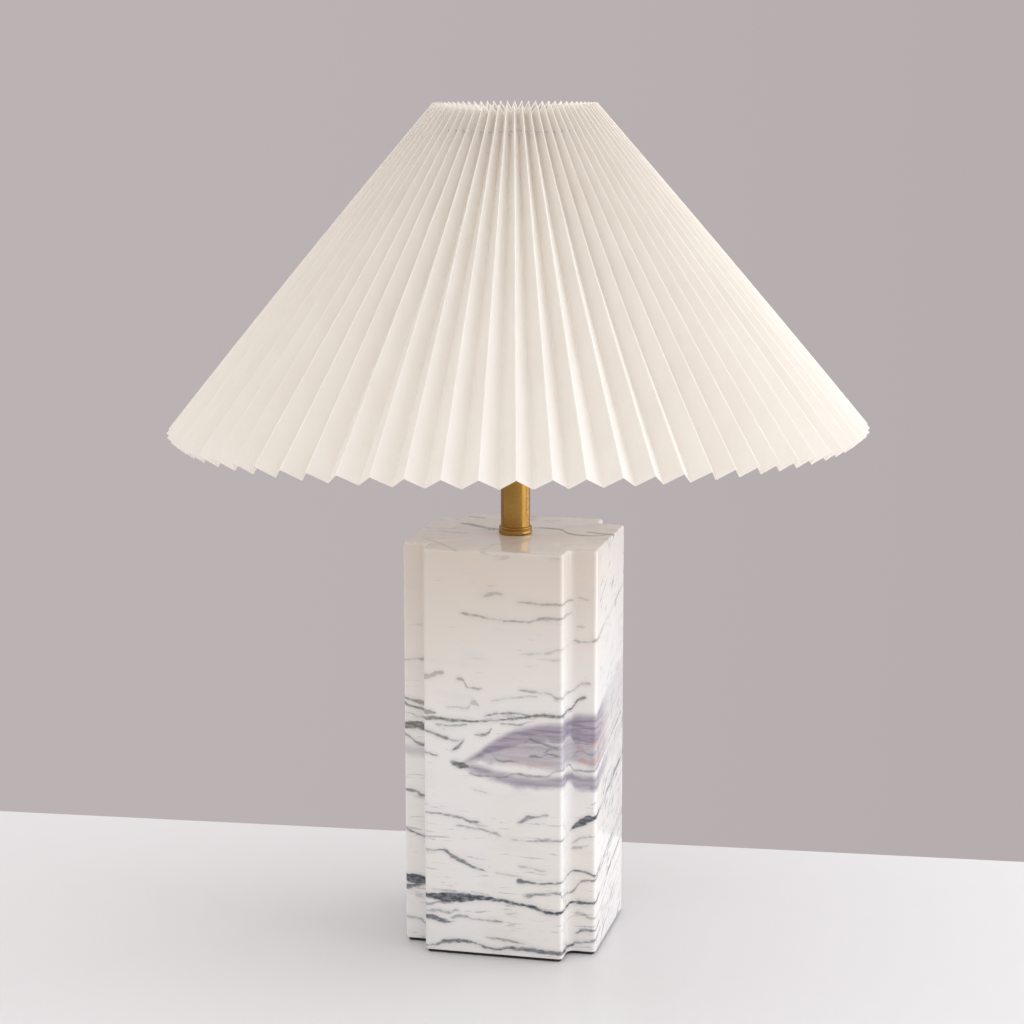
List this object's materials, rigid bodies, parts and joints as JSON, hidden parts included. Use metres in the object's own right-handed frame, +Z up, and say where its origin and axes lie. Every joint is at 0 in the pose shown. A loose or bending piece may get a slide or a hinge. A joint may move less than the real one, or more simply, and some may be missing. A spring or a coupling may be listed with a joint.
{
  "type": "table lamp",
  "caption": "Table lamp: square marble column with stepped corners, short brass neck, lampholder with turn knob, and a wide cone shade of pleated cloth on a wire carrier",
  "frame": {"origin": "Centre of the underside of the pad, on the lamp's upright axis", "axes": "+Z up along the column, -Y is the front face of the column, +X is its right face, where the knob points"},
  "size_m": [0.4496, 0.4496, 0.5437],
  "materials": {
    "marble": "polished white marble with grey veins",
    "felt": "black felt",
    "inlet_plastic": "matte white moulding",
    "zinc_steel": "zinc plated",
    "brushed_brass": "satin brushed and lacquered",
    "holder_moulding": "black phenolic moulding",
    "screw_shell_metal": "rolled thread",
    "contact_brass": "stamped",
    "knob_moulding": "black moulding",
    "bulb_cap_metal": "rolled thread",
    "bulb_black_glass": "black insulator",
    "bulb_white_plastic": "white moulding",
    "frosted_globe": "milky diffuser",
    "carrier_white": "white powder coat",
    "shade_cloth": "cream linen blend, hand pleated"
  },
  "bodies": {
    "base": {"marble_column": "marble", "base_pad": "felt", "cord_inlet_bush": "inlet_plastic", "threaded_stem": "zinc_steel", "load_plate": "zinc_steel", "lock_washer": "zinc_steel", "stem_nut": "zinc_steel", "neck_collar": "brushed_brass", "neck_tube": "brushed_brass", "socket_cap": "holder_moulding", "socket_shell": "holder_moulding", "socket_core": "holder_moulding", "screw_shell": "screw_shell_metal", "centre_contact": "contact_brass"},
    "knob": {"switch_shaft": "zinc_steel", "switch_knob": "knob_moulding"},
    "bulb": {"bulb_cap": "bulb_cap_metal", "bulb_insulator": "bulb_black_glass", "bulb_tip": "bulb_cap_metal", "bulb_housing": "bulb_white_plastic", "bulb_globe": "frosted_globe"},
    "clamp": {"shade_clamp_ring": "holder_moulding"},
    "shade": {"fitter_ring": "carrier_white", "shade_ring": "carrier_white", "carrier_arms": "carrier_white", "pleated_shade": "shade_cloth"}
  },
  "joints": [
    {"name": "knob_turn", "type": "hinge", "parent": "base", "child": "knob", "pos_m": [0.0196, 0, 0.399], "axis": [1, 0, 0], "continuous": true},
    {"name": "shade_turn", "type": "hinge", "parent": "base", "child": "shade", "pos_m": [0, 0, 0.4228], "axis": [0, 0, 1], "continuous": true},
    {"name": "bulb_out", "type": "slide", "parent": "base", "child": "bulb", "axis": [0, 0, 1], "range_m": [0, 0.03]},
    {"name": "clamp_ring_off", "type": "slide", "parent": "base", "child": "clamp", "axis": [0, 0, 1], "range_m": [0, 0.0115]}
  ]
}
